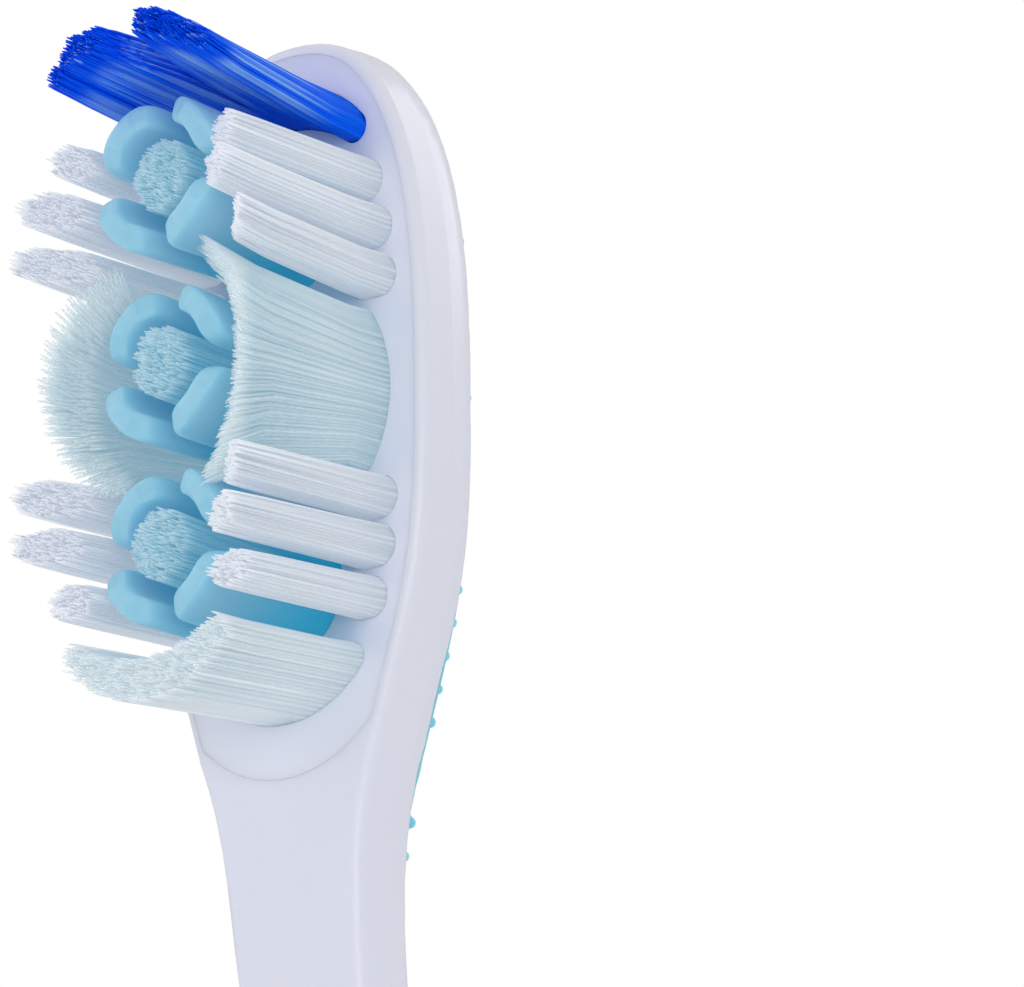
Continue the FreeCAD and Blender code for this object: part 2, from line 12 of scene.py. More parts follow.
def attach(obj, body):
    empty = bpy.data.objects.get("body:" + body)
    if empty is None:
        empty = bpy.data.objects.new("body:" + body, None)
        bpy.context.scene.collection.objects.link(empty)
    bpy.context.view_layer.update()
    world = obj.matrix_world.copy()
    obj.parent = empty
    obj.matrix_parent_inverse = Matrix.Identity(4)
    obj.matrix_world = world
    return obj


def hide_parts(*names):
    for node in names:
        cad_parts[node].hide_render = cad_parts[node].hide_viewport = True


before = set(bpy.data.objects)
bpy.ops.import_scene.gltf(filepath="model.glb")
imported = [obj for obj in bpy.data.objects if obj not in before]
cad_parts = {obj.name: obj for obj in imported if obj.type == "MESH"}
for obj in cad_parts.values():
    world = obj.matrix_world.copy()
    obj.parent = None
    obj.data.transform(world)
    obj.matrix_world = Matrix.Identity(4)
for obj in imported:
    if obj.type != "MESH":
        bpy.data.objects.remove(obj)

log = logging.getLogger("toothbrush")

# All lengths below are in millimetres, and MM turns them into metres. "Drop" is
# a distance measured down from the head tip, and "height" a distance above the
# flat bristle face of the head, as in the part's source.
MM = 0.001
TIP_Z = 190.0
FACE_Y = -6.0
HALF_HEAD = 7.9
CUP_DROPS = (8.0, 16.2, 24.2)
CUP_WORDS = ("upper", "middle", "lower")
CUP_LEAN = 4.0
RING_RADIUS = 5.95
BODY = "root"

Color = tuple[float, float, float, float]
Point = tuple[float, float]


def srgb(red: float, green: float, blue: float) -> Color:
    """Turn a screen colour into the renderer's linear colour.

    Args:
        red: Red on the 0 to 255 scale.
        green: Green on the same scale.
        blue: Blue on the same scale.

    Returns:
        The linear colour with full opacity.
    """
    linear = []
    for value in (red, green, blue):
        share = value / 255
        linear.append(share / 12.92 if share <= 0.04045 else ((share + 0.055) / 1.055) ** 2.4)
    return (*linear, 1.0)


class Wire:
    """A socket of a shader graph that takes part in Python arithmetic."""

    def __init__(self, graph: "Graph", socket: bpy.types.NodeSocket) -> None:
        """Keep the graph and the socket that the value comes from."""
        self.graph = graph
        self.socket = socket

    def math(self, operation: str, other: "Wire | float", swapped: bool = False) -> "Wire":
        """Add one Math node.

        Args:
            operation: The node's operation.
            other: The second value.
            swapped: True where the second value comes first.

        Returns:
            The node's result.
        """
        values = (other, self) if swapped else (self, other)
        return self.graph.node("ShaderNodeMath", {"operation": operation}, {0: values[0], 1: values[1]})

    def __add__(self, other: "Wire | float") -> "Wire":
        """Sum of two values."""
        return self.math("ADD", other)

    __radd__ = __add__

    def __sub__(self, other: "Wire | float") -> "Wire":
        """Difference of two values."""
        return self.math("SUBTRACT", other)

    def __rsub__(self, other: "Wire | float") -> "Wire":
        """Difference with this value taken from the other."""
        return self.math("SUBTRACT", other, swapped=True)

    def __mul__(self, other: "Wire | float") -> "Wire":
        """Product of two values."""
        return self.math("MULTIPLY", other)

    __rmul__ = __mul__

    def __pow__(self, other: float) -> "Wire":
        """Power of this value."""
        return self.math("POWER", other)

    def __abs__(self) -> "Wire":
        """Size of this value without its sign."""
        return self.math("ABSOLUTE", 0.0)

    def step(self, low: float, high: float) -> "Wire":
        """Smooth step from 0 to 1.

        Args:
            low: The value at which the result is 0.
            high: The value at which the result is 1.

        Returns:
            The share between them.
        """
        settings = {"interpolation_type": "SMOOTHSTEP"}
        inputs = {"Value": self, "From Min": low, "From Max": high}
        return self.graph.node("ShaderNodeMapRange", settings, inputs)


class Graph:
    """The node tree of one material or of the world."""

    def __init__(self, tree: bpy.types.NodeTree) -> None:
        """Start an empty tree."""
        self.tree = tree
        tree.nodes.clear()

    def node(
        self,
        kind: str,
        settings: dict[str, object] | None = None,
        inputs: dict[str | int, object] | None = None,
        output: str | int = 0,
    ) -> Wire:
        """Add a node, with its settings first and then its sockets.

        Args:
            kind: The node's type.
            settings: Values of its own properties; "stops" fills a ramp.
            inputs: Values or links of its sockets, by name or number.
            output: The socket that is handed back.

        Returns:
            The chosen output.
        """
        made = self.tree.nodes.new(kind)
        for key, value in (settings or {}).items():
            if key == "stops":
                ramp = made.color_ramp
                while len(ramp.elements) < len(value):
                    ramp.elements.new(1.0)
                for element, (place, color) in zip(ramp.elements, value):
                    element.position, element.color = place, color
            else:
                setattr(made, key, value)
        for key, value in (inputs or {}).items():
            if isinstance(value, Wire):
                self.tree.links.new(value.socket, made.inputs[key])
            else:
                made.inputs[key].default_value = value
        return Wire(self, made.outputs[output]) if len(made.outputs) else Wire(self, None)

    def coordinates(self) -> Wire:
        """Object coordinates, in metres."""
        return self.node("ShaderNodeTexCoord", output="Object")

    def place(self) -> tuple[Wire, Wire, Wire]:
        """Object coordinates as three numbers, in millimetres."""
        inputs = {0: self.coordinates(), "Scale": 1 / MM}
        scaled = self.node("ShaderNodeVectorMath", {"operation": "SCALE"}, inputs)
        x = self.node("ShaderNodeSeparateXYZ", inputs={0: scaled})
        _, y, z = x.socket.node.outputs
        return x, Wire(self, y), Wire(self, z)

    def noise(self, scale: tuple[float, float, float], detail: float = 2.0, roughness: float = 0.5) -> Wire:
        """Noise in object coordinates.

        Args:
            scale: Cycles per millimetre along each axis.
            detail: Number of finer layers.
            roughness: Strength of the finer layers.

        Returns:
            A value of about 0.2 to 0.8.
        """
        stretched = Vector(scale) / MM
        vector = self.node("ShaderNodeMapping", inputs={"Vector": self.coordinates(), "Scale": stretched})
        inputs = {"Vector": vector, "Scale": 1.0, "Detail": detail, "Roughness": roughness}
        return self.node("ShaderNodeTexNoise", inputs=inputs, output="Fac")

    def mix(self, factor: "Wire | float", first: "Wire | Color", second: "Wire | Color") -> Wire:
        """Blend two colours.

        Args:
            factor: Share of the second colour.
            first: Colour at 0.
            second: Colour at 1.

        Returns:
            The blended colour.
        """
        settings = {"data_type": "RGBA"}
        return self.node("ShaderNodeMix", settings, {0: factor, 6: first, 7: second}, output=2)

    def bump(self, height: Wire, distance: float) -> Wire:
        """Normal from a height.

        Args:
            height: Height as a value of 0 to 1.
            distance: Millimetres of relief for a height of 1.

        Returns:
            The normal.
        """
        inputs = {"Height": height, "Distance": distance * MM, "Strength": 1.0}
        return self.node("ShaderNodeBump", inputs=inputs)

    def surface(self, shader: Wire) -> None:
        """Connect a shader to the material's output."""
        self.node("ShaderNodeOutputMaterial", inputs={"Surface": shader})


@dataclass(frozen=True)
class Finish:
    """A material, built once from its fields."""

    name: str

    def shader(self, graph: Graph) -> Wire:
        """Build the nodes and hand back the shader."""
        raise NotImplementedError

    def material(self) -> bpy.types.Material:
        """Return the material, made on first use."""
        found = bpy.data.materials.get(self.name)
        if found:
            return found
        made = bpy.data.materials.new(self.name)
        made.use_nodes = True
        graph = Graph(made.node_tree)
        graph.surface(self.shader(graph))
        return made


@dataclass(frozen=True)
class MouldedPlastic(Finish):
    """Glossy moulded plastic with faint flow clouds and a fine skin.

    The scatter and the relief are in millimetres. The wear is the most that the
    skin adds to the roughness.
    """

    color: Color = srgb(231, 233, 247)
    cloud: Color = srgb(227, 230, 245)
    roughness: float = 0.2
    subsurface: float = 0.25
    scatter: float = 0.8
    relief: float = 0.0008
    wear: float = 0.08
    refraction: float = 1.49

    def shader(self, graph: Graph) -> Wire:
        """Build the plastic."""
        clouds = graph.noise((0.12, 0.12, 0.05), detail=3.0)
        skin = graph.noise((1.6, 1.6, 1.2), detail=3.0, roughness=0.6)
        inputs = {
            "Base Color": graph.mix(clouds.step(0.3, 0.75), self.color, self.cloud),
            "Roughness": self.roughness + skin * self.wear,
            "Subsurface Weight": self.subsurface,
            "Subsurface Radius": (1.0, 1.0, 1.1),
            "Subsurface Scale": self.scatter * MM,
            "IOR": self.refraction,
            "Normal": graph.bump(skin, self.relief),
        }
        return graph.node("ShaderNodeBsdfPrincipled", inputs=inputs)


class Tint(enum.Enum):
    """Where a soft piece is lighter or deeper."""

    PAD = "deeper in the rings of the tongue cleaner, lighter toward its -X edge"
    CUP = "lighter from the root of a cup to its rim"
    GRIP = "even, with faint clouds"


@dataclass(frozen=True)
class SoftRubber(Finish):
    """Soft translucent elastomer, whose scatter and relief are in millimetres.

    Its painted glow, an emission of its own colour, stands in for light carried
    through the rubber into its shaded parts.
    """

    tint: Tint = Tint.GRIP
    deep: Color = srgb(66, 158, 195)
    light: Color = srgb(122, 192, 217)
    roughness: float = 0.32
    wear: float = 0.15
    subsurface: float = 0.5
    scatter: float = 0.9
    relief: float = 0.02
    refraction: float = 1.45
    painted_glow: float = 0.0

    def cup_share(self, y: Wire, clouds: Wire) -> Wire:
        """Share of the light colour on a cup, which grows with height."""
        root, rim = -0.5, 9.0
        height = FACE_Y - y
        return height.step(root, rim) * 0.9 + clouds * 0.2 - 0.1

    def pad_share(self, x: Wire, z: Wire, clouds: Wire) -> Wire:
        """Share of the light colour on the pad, from places in millimetres."""
        middle, edge = 2.5, 6.0
        line_inset, line_core, line_end, rim = 0.5, 0.35, 0.85, 1.2
        edge_lighter, line_deeper, inside_deeper = 0.35, 0.42, 0.14
        share = 0.5 + clouds * 0.3 + (x * -1.0).step(middle, edge) * edge_lighter
        for centre, radius in zip(TongueCleaner.RING_DROPS, TongueCleaner.RING_RADII):
            down = z - (TIP_Z - centre)
            distance = (x * x + down * down) ** 0.5
            line = 1.0 - abs(distance - (radius - line_inset)).step(line_core, line_end)
            inside = 1.0 - distance.step(radius - rim, radius)
            share = share - line * line_deeper - inside * inside_deeper
        return share

    def light_share(self, graph: Graph) -> Wire:
        """Share of the light colour over the surface."""
        x, y, z = graph.place()
        clouds = graph.noise((0.35, 0.35, 0.35), detail=3.0)
        if self.tint is Tint.CUP:
            return self.cup_share(y, clouds)
        if self.tint is Tint.PAD:
            return self.pad_share(x, z, clouds)
        return 0.35 + clouds * 0.3

    def shader(self, graph: Graph) -> Wire:
        """Build the elastomer."""
        share = self.light_share(graph).step(0.0, 1.0)
        skin = graph.noise((2.2, 2.2, 2.2), detail=3.0, roughness=0.6)
        color = graph.mix(share, self.deep, self.light)
        inputs = {
            "Base Color": color,
            "Roughness": self.roughness + skin * self.wear,
            "Subsurface Weight": self.subsurface,
            "Subsurface Radius": (0.5, 1.0, 1.2),
            "Subsurface Scale": self.scatter * MM,
            "IOR": self.refraction,
            # Painted glow: emission of the rubber's own colour, standing in for light carried through it.
            "Emission Color": color,
            "Emission Strength": self.painted_glow,
            "Normal": graph.bump(skin, self.relief),
        }
        return graph.node("ShaderNodeBsdfPrincipled", inputs=inputs)


@dataclass(frozen=True)
class Filament(Finish):
    """Nylon filaments, each a little lighter or darker than the next.

    Starts are shares of a filament's length. Streaks of painted sheen run along
    single filaments and patches of them, and specks are painted sheen on the tips
    of the lightest filaments. The painted glow, an emission of the nylon's own
    colour, stands in for light carried through it and lightens the shade between
    filaments.
    """

    SHEEN_FADE = 0.3
    TIP_FADE = 0.12
    SHEEN_BAND = (0.5, 0.85)
    SPECK_TONES = (0.8, 0.84)
    SPECK_TIPS = (0.94, 0.97)
    OPACITY_BAND = (0.3, 1.0)

    color: Color = srgb(238, 246, 255)
    shade: Color = srgb(234, 243, 254)
    tip: Color = srgb(242, 246, 255)
    sheen_streak: Color = srgb(242, 248, 255)
    sheen_share: float = 0.5
    sheen_start: float = 0.0
    tip_start: float = 0.88
    roughness: float = 0.45
    tip_opacity: float = 1.0
    shine: float = 0.25
    subsurface: float = 1.0
    scatter: float = 0.9
    speck_share: float = 0.0
    refraction: float = 1.53
    painted_glow: float = 0.1

    def shader(self, graph: Graph) -> Wire:
        """Build the nylon."""
        tone = graph.node("ShaderNodeAttribute", {"attribute_name": TuftPiece.TONE}, output="Fac")
        along = graph.node("ShaderNodeAttribute", {"attribute_name": TuftPiece.ALONG}, output="Fac")
        patches = graph.noise((0.5, 0.12, 0.5), detail=2.0)
        base = graph.mix(tone, self.shade, self.color)
        # Painted sheen: lighter streaks along the filaments of lighter tone, from the sheen's start up.
        sheen_streaks = (tone * 0.6 + patches * 0.7).step(*self.SHEEN_BAND)
        sheen_streaks = sheen_streaks * along.step(self.sheen_start, self.sheen_start + self.SHEEN_FADE)
        base = graph.mix(sheen_streaks * self.sheen_share, base, self.sheen_streak)
        base = graph.mix(along.step(self.tip_start, self.tip_start + self.TIP_FADE), base, self.tip)
        # Painted sheen on the very tips of the lightest filaments.
        specks = tone.step(*self.SPECK_TONES) * along.step(*self.SPECK_TIPS)
        base = graph.mix(specks * self.speck_share, base, self.sheen_streak)
        inputs = {
            "Base Color": base,
            "Roughness": self.roughness,
            "Subsurface Weight": self.subsurface,
            "Subsurface Radius": (1.0, 1.0, 1.0),
            "Subsurface Scale": self.scatter * MM,
            "IOR": self.refraction,
            "Specular IOR Level": self.shine,
            # Painted glow: emission of the base colour, standing in for light carried through the nylon.
            "Emission Color": base,
            "Emission Strength": self.painted_glow,
        }
        if self.tip_opacity < 1:
            inputs["Alpha"] = 1.0 - along.step(*self.OPACITY_BAND) * (1 - self.tip_opacity)
        return graph.node("ShaderNodeBsdfPrincipled", inputs=inputs)


WHITE_BODY = MouldedPlastic("body_plastic")
WHITE_PLATE = MouldedPlastic("plate_plastic", roughness=0.32, relief=0.0, wear=0.01)
# The glow values below are painted glow, standing in for light carried through translucent rubber and nylon.
PAD_RUBBER = SoftRubber(
    "pad_rubber",
    tint=Tint.PAD,
    deep=srgb(62, 164, 204),
    light=srgb(128, 194, 218),
    roughness=0.45,
    subsurface=0.9,
    scatter=2.2,
    painted_glow=0.05,
)
CUP_RUBBER = SoftRubber(
    "cup_rubber",
    tint=Tint.CUP,
    deep=srgb(56, 184, 214),
    light=srgb(146, 194, 214),
    subsurface=0.8,
    scatter=1.6,
    painted_glow=0.15,
)
GRIP_RUBBER = SoftRubber("grip_rubber", deep=srgb(60, 150, 188), light=srgb(104, 182, 210))
WHITE_NYLON = Filament("white_nylon")
CLEAR_NYLON = Filament(
    "clear_nylon",
    color=srgb(211, 233, 242),
    shade=srgb(200, 226, 237),
    tip=srgb(230, 243, 249),
    sheen_streak=srgb(222, 237, 244),
    tip_opacity=0.48,
    painted_glow=0.12,
)
HEEL_NYLON = Filament(
    "heel_nylon",
    color=srgb(229, 241, 247),
    shade=srgb(219, 234, 243),
    tip=srgb(236, 246, 251),
    sheen_streak=srgb(236, 244, 248),
    tip_opacity=0.8,
    painted_glow=0.12,
)
# The blue's light streaks and tip specks are painted sheen, put by the tip tuft's tones on the outside of its
# right lobe and the inside of its left one.
BLUE_NYLON = Filament(
    "blue_nylon",
    color=srgb(0, 116, 255),
    shade=srgb(0, 92, 252),
    tip=srgb(0, 92, 252),
    sheen_streak=srgb(150, 200, 255),
    sheen_share=0.75,
    sheen_start=0.12,
    tip_start=0.78,
    shine=0.06,
    subsurface=0.0,
    speck_share=0.6,
    painted_glow=0.0,
)
SPECKLED_NYLON = Filament(
    "speckled_nylon",
    color=srgb(158, 222, 244),
    shade=srgb(136, 210, 238),
    tip=srgb(198, 236, 248),
    sheen_streak=srgb(186, 232, 246),
    tip_opacity=0.75,
    painted_glow=0.1,
)


def add_piece(obj: bpy.types.Object, finish: Finish, slot: str, *nodes: str) -> bpy.types.Object:
    """Dress a new piece and tie it to the frame.

    Args:
        obj: The finished mesh object.
        finish: Its material.
        slot: A material slot's name; not used.
        nodes: The CAD nodes that it stands for.

    Returns:
        The object.
    """
    obj.data.materials.clear()
    obj.data.materials.append(finish.material())
    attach(obj, BODY)
    if nodes:
        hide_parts(*nodes)
    log.info("%s: %d faces", obj.name, len(obj.data.polygons))
    return obj


def finished_mesh(name: str, shape: bmesh.types.BMesh) -> bpy.types.Mesh:
    """Turn a finished bmesh into a mesh.

    Args:
        name: The mesh's name.
        shape: The bmesh, which is freed.

    Returns:
        The mesh.
    """
    mesh = bpy.data.meshes.new(name)
    shape.to_mesh(mesh)
    shape.free()
    return mesh


def set_order(shape: bmesh.types.BMesh) -> None:
    """Sort the edges and faces of a bmesh by their points.

    A spin that welds its ends leaves them in another order on each run.

    Args:
        shape: The bmesh, whose points keep their order.
    """
    shape.verts.index_update()
    for parts in (shape.edges, shape.faces):
        ranked = sorted(parts, key=lambda part: sorted(vertex.index for vertex in part.verts))
        for rank, part in enumerate(ranked):
            part.index = rank
        parts.sort()


def placed(name: str, data: bpy.types.ID) -> bpy.types.Object:
    """Put a mesh, a curve, a lamp or a camera into the scene.

    Args:
        name: The object's name.
        data: What it shows.

    Returns:
        The object.
    """
    obj = bpy.data.objects.new(name, data)
    bpy.context.scene.collection.objects.link(obj)
    return obj


def smooth_object(name: str, mesh: bpy.types.Mesh) -> bpy.types.Object:
    """Put a mesh into the scene with smooth shading.

    Args:
        name: The object's name.
        mesh: Its mesh.

    Returns:
        The object.
    """
    for face in mesh.polygons:
        face.use_smooth = True
    return placed(name, mesh)


def dress_node(node: str, finish: Finish) -> None:
    """Give a CAD node that stays its material.

    Args:
        node: The node's name.
        finish: Its material.
    """
    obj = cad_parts[node]
    if not obj.material_slots:
        obj.data.materials.append(None)
    for held in obj.material_slots:
        held.material = finish.material()
    log.info("%s: dressed", node)


@dataclass
class Handle:
    """White body of the brush, its tuft plate and its two grips."""

    plastic: Finish = WHITE_BODY
    plate: Finish = WHITE_PLATE
    grip: Finish = GRIP_RUBBER

    def build(self) -> None:
        """Dress the body, the plate and the grips."""
        dress_node("handle_body", self.plastic)
        dress_node("tuft_plate", self.plate)
        dress_node("thumb_grip", self.grip)
        dress_node("back_grip", self.grip)


@dataclass
class TongueCleaner:
    """Soft pad in the back of the head, with three raised rings."""

    RING_DROPS = (10.0, 21.0, 30.8)
    RING_RADII = (4.2, 3.8, 3.15)

    rubber: Finish = PAD_RUBBER

    def build(self) -> None:
        """Dress the pad."""
        dress_node("tongue_cleaner", self.rubber)


@dataclass
class Cup:
    """One soft polishing cup: a root ring in the plate and four petals.

    Walls, slots and roundings are in millimetres. The root is how far the petals
    reach into the plate, and a crowding above 1 puts more points near the edges.
    """

    node: str
    drop: float
    height: float
    outer: float = 3.2
    wall: float = 1.15
    rim_wall: float = 1.2
    flare: float = 0.35
    slot: float = 0.75
    rim_slot: float = 1.1
    corner: float = 0.85
    edge: float = 0.4
    root: float = 0.7
    cuts: int = 11
    crowding: float = 1.6
    ring_steps: int = 48
    rubber: Finish = CUP_RUBBER

    def axis(self) -> Vector:
        """Direction in which the cup stands."""
        lean = math.radians(CUP_LEAN)
        return Vector((0, -math.cos(lean), math.sin(lean)))

    def crowd(self, value: float) -> float:
        """Move a share of -1 to 1 nearer to its end."""
        return math.copysign(1 - (1 - abs(value)) ** self.crowding, value)

    def petal_point(self, share: Vector, facing: float) -> Vector:
        """Place of one point of a petal.

        Args:
            share: Place along, up and through the wall, each from -1 to 1.
            facing: Direction of the petal's middle, in radians.

        Returns:
            The place in millimetres.
        """
        up = (self.crowd(share.y) + 1) / 2
        height = -self.root + up * (self.height + self.root)
        grown = max(height, 0) / self.height
        half_wall = (self.wall + (self.rim_wall - self.wall) * grown) / 2
        middle = self.outer + self.flare * grown - half_wall
        gap = (self.slot + (self.rim_slot - self.slot) * grown) / 2
        along = middle * math.pi / 4 - gap
        past = height - (self.height - self.corner)
        if past > 0:
            along -= self.corner - math.sqrt(max(self.corner ** 2 - past ** 2, 0))
        sizes = (along, half_wall)
        flat = [self.crowd(share.x) * along, self.crowd(share.z) * half_wall, height]
        core = [min(max(value, self.edge - size), size - self.edge) for value, size in zip(flat, sizes)]
        core.append(min(height, self.height - self.edge))
        outward = Vector(flat) - Vector(core)
        if outward.length > self.edge:
            flat = list(Vector(core) + outward.normalized() * self.edge)
        angle = facing + flat[0] / middle
        axis = self.axis()
        upright = axis.cross(Vector((1, 0, 0)))
        foot = Vector((0, FACE_Y, TIP_Z - self.drop)) + axis * flat[2]
        radial = Vector((1, 0, 0)) * math.cos(angle) - upright * math.sin(angle)
        return foot + radial * (middle + flat[1])

    def petal(self, shape: bmesh.types.BMesh, facing: float) -> None:
        """Add one petal to a mesh."""
        block = bmesh.new()
        bmesh.ops.create_cube(block, size=2.0)
        bmesh.ops.subdivide_edges(block, edges=block.edges[:], cuts=self.cuts, use_grid_fill=True)
        for vertex in block.verts:
            vertex.co = self.petal_point(vertex.co, facing) * MM
        held = finished_mesh("petal", block)
        shape.from_mesh(held)
        bpy.data.meshes.remove(held)

    def ring(self, shape: bmesh.types.BMesh) -> None:
        """Add the ring that roots the petals in the plate."""
        axis = self.axis()
        middle = Vector((0, FACE_Y, TIP_Z - self.drop)) * MM
        grid = bmesh.ops.create_grid(shape, x_segments=1, y_segments=1, size=0.5)
        size = Matrix.Diagonal((self.wall * MM, self.root * MM, 1, 1))
        turn = Vector((0, 1, 0)).rotation_difference(axis).to_matrix().to_4x4()
        place = middle - axis * self.root / 2 * MM + Vector(((self.outer - self.wall / 2) * MM, 0, 0))
        bmesh.ops.transform(shape, matrix=Matrix.Translation(place) @ turn @ size, verts=grid["verts"])
        faces = list(dict.fromkeys(face for vertex in grid["verts"] for face in vertex.link_faces))
        edges = list(dict.fromkeys(edge for vertex in grid["verts"] for edge in vertex.link_edges))
        bmesh.ops.delete(shape, geom=faces, context="FACES_ONLY")
        bmesh.ops.spin(
            shape,
            geom=edges + grid["verts"],
            cent=middle,
            axis=axis,
            angle=math.tau,
            steps=self.ring_steps,
            use_merge=True,
        )

    def build(self) -> bpy.types.Object:
        """Build the cup as one mesh."""
        shape = bmesh.new()
        for quarter in range(4):
            self.petal(shape, math.pi / 4 + quarter * math.pi / 2)
        self.ring(shape)
        bmesh.ops.recalc_face_normals(shape, faces=shape.faces)
        set_order(shape)
        name = self.node + "_petals"
        obj = smooth_object(name, finished_mesh(name, shape))
        smooth = obj.modifiers.new("round", "SUBSURF")
        smooth.levels = smooth.render_levels = 1
        return add_piece(obj, self.rubber, "cup_teal", self.node)


@dataclass
class Cups:
    """The three soft polishing cups."""

    heights: tuple[float, ...] = (8.7, 8.2, 8.0)

    def build(self) -> None:
        """Build the cups."""
        for word, drop, height in zip(CUP_WORDS, CUP_DROPS, self.heights):
            Cup("polishing_cup_" + word, drop, height).build()


@dataclass
class TuftPiece:
    """One tuft, made of single filaments that stand in its hole.

    Filaments stand a pitch apart and start at the rest, below the face. Flare and
    squeeze spread the tips sideways and down the head, for each millimetre from the
    tuft's middle, and close them where they are negative. Tips end at random up to
    twice the ragged length below the trim and the extra, and lean at random, by
    clumps and on their own. Stations are shares of a filament, each with its share
    of the strand radius. Lengths and random leans are in millimetres, and the lean
    toward the head tip, with its loss down the head, is in degrees.
    """

    ALONG = "along"
    TONE = "tone"
    STATIONS = ((0.0, 1.8), (0.3, 1.0), (0.8, 0.92), (0.97, 0.7), (1.0, 0.35))
    TIP_LEAN = 5.5
    LEAN_LOSS = 0.27

    node: str
    drop: float
    finish: Finish
    slot: str
    strand_radius: float = 0.085
    pitch: float = 0.13
    flare: float = 0.08
    squeeze: float = 0.08
    ragged: float = 0.3
    extra: float = 0.12
    clump: float = 0.42
    clump_lean: float = 0.035
    own_lean: float = 0.03
    bending: float = 2.0
    stray: float = 0.008
    rest: float = -1.6

    def inside(self, x: float, down: float) -> bool:
        """Tell whether a filament stands at a place of the face."""
        raise NotImplementedError

    def top(self, x: float, down: float) -> float:
        """Height of the trimmed tips above a place of the face."""
        raise NotImplementedError

    def reach(self) -> tuple[float, float, float, float]:
        """Sideways and downward limits of the section."""
        raise NotImplementedError

    def slope(self) -> float:
        """Rise toward the head tip for each millimetre of height, less further down."""
        return math.tan(math.radians(self.TIP_LEAN - self.LEAN_LOSS * self.drop))

    def fan(self, x: float, down: float) -> Point:
        """Further sideways and downward lean of the tip of a filament."""
        return 0.0, 0.0

    def clump_of(self, x: float, down: float) -> random.Random:
        """Random source shared by filaments that cling together."""
        return random.Random(f"{self.node} {math.floor(x / self.clump)} {math.floor(down / self.clump)}")

    def roots(self, chance: random.Random) -> list[Point]:
        """Places of the filaments in the face, in staggered rows."""
        low_x, high_x, low_down, high_down = self.reach()
        found = []
        row = 0
        down = low_down
        while down <= high_down:
            x = low_x + (row % 2) * self.pitch / 2
            while x <= high_x:
                near_x = x + chance.uniform(-self.stray, self.stray)
                near_down = down + chance.uniform(-self.stray, self.stray)
                if self.inside(near_x, near_down):
                    found.append((near_x, near_down))
                x += self.pitch
            row += 1
            down += self.pitch * math.sqrt(3) / 2
        return found

    def strand(self, root: Point, middle: Point, chance: random.Random) -> list[tuple[Vector, float]]:
        """Points and radii of one filament, from its root to its tip."""
        x, down = root
        side_x, side_down = x - middle[0], down - middle[1]
        shared = self.clump_of(x, down)
        length = self.top(x, down) + self.extra - self.ragged * (chance.random() ** 2 + shared.random())
        lean_x = self.flare * side_x + shared.gauss(0, self.clump_lean) + chance.gauss(0, self.own_lean)
        lean_down = self.squeeze * side_down + shared.gauss(0, self.clump_lean)
        lean_down += chance.gauss(0, self.own_lean)
        fan_x, fan_down = self.fan(x, down)
        lean_x, lean_down = lean_x + fan_x, lean_down + fan_down
        points = []
        for share, radius in self.STATIONS:
            height = self.rest + share * (length - self.rest)
            bend = (max(height, 0) / length) ** self.bending
            z = TIP_Z - down + height * self.slope() - lean_down * bend
            points.append((Vector((x + lean_x * bend, FACE_Y - height, z)) * MM, radius))
        return points

    def build(self) -> bpy.types.Object:
        """Build the tuft as one mesh."""
        chance = random.Random(self.node)
        roots = self.roots(chance)
        middle = (sum(x for x, _ in roots) / len(roots), sum(d for _, d in roots) / len(roots))
        curve = bpy.data.curves.new(self.node + "_line", "CURVE")
        curve.dimensions = "3D"
        curve.bevel_depth = self.strand_radius * MM
        curve.bevel_resolution = 1
        curve.use_fill_caps = True
        for root in roots:
            points = self.strand(root, middle, chance)
            spline = curve.splines.new("POLY")
            spline.points.add(len(points) - 1)
            for held, (place, radius) in zip(spline.points, points):
                held.co = (*place, 1.0)
                held.radius = radius
        holder = placed(self.node + "_line", curve)
        graph = bpy.context.evaluated_depsgraph_get()
        mesh = bpy.data.meshes.new_from_object(holder.evaluated_get(graph))
        bpy.data.objects.remove(holder)
        bpy.data.curves.remove(curve)
        self.mark(mesh, [self.tone_of(root, chance) for root in roots])
        return add_piece(smooth_object(self.node + "_filaments", mesh), self.finish, self.slot, self.node)

    def tone_of(self, root: Point, chance: random.Random) -> float:
        """Tone of the filament at a root, from 0 for deep to 1 for light."""
        return chance.random()

    def mark(self, mesh: bpy.types.Mesh, tones: list[float]) -> None:
        """Store where each point lies along its filament, and the filament's tone, which also decides where
        painted sheen falls.

        Args:
            mesh: The tuft, in which every filament has the same number of points.
            tones: The tone of each filament.
        """
        along = mesh.attributes.new(self.ALONG, "FLOAT", "POINT")
        tone = mesh.attributes.new(self.TONE, "FLOAT", "POINT")
        each = len(mesh.vertices) // len(tones)
        for index, vertex in enumerate(mesh.vertices):
            height = FACE_Y - vertex.co.y / MM
            down = TIP_Z - vertex.co.z / MM + height * self.slope()
            along.data[index].value = height / self.top(vertex.co.x / MM, down)
            tone.data[index].value = tones[min(index // each, len(tones) - 1)]


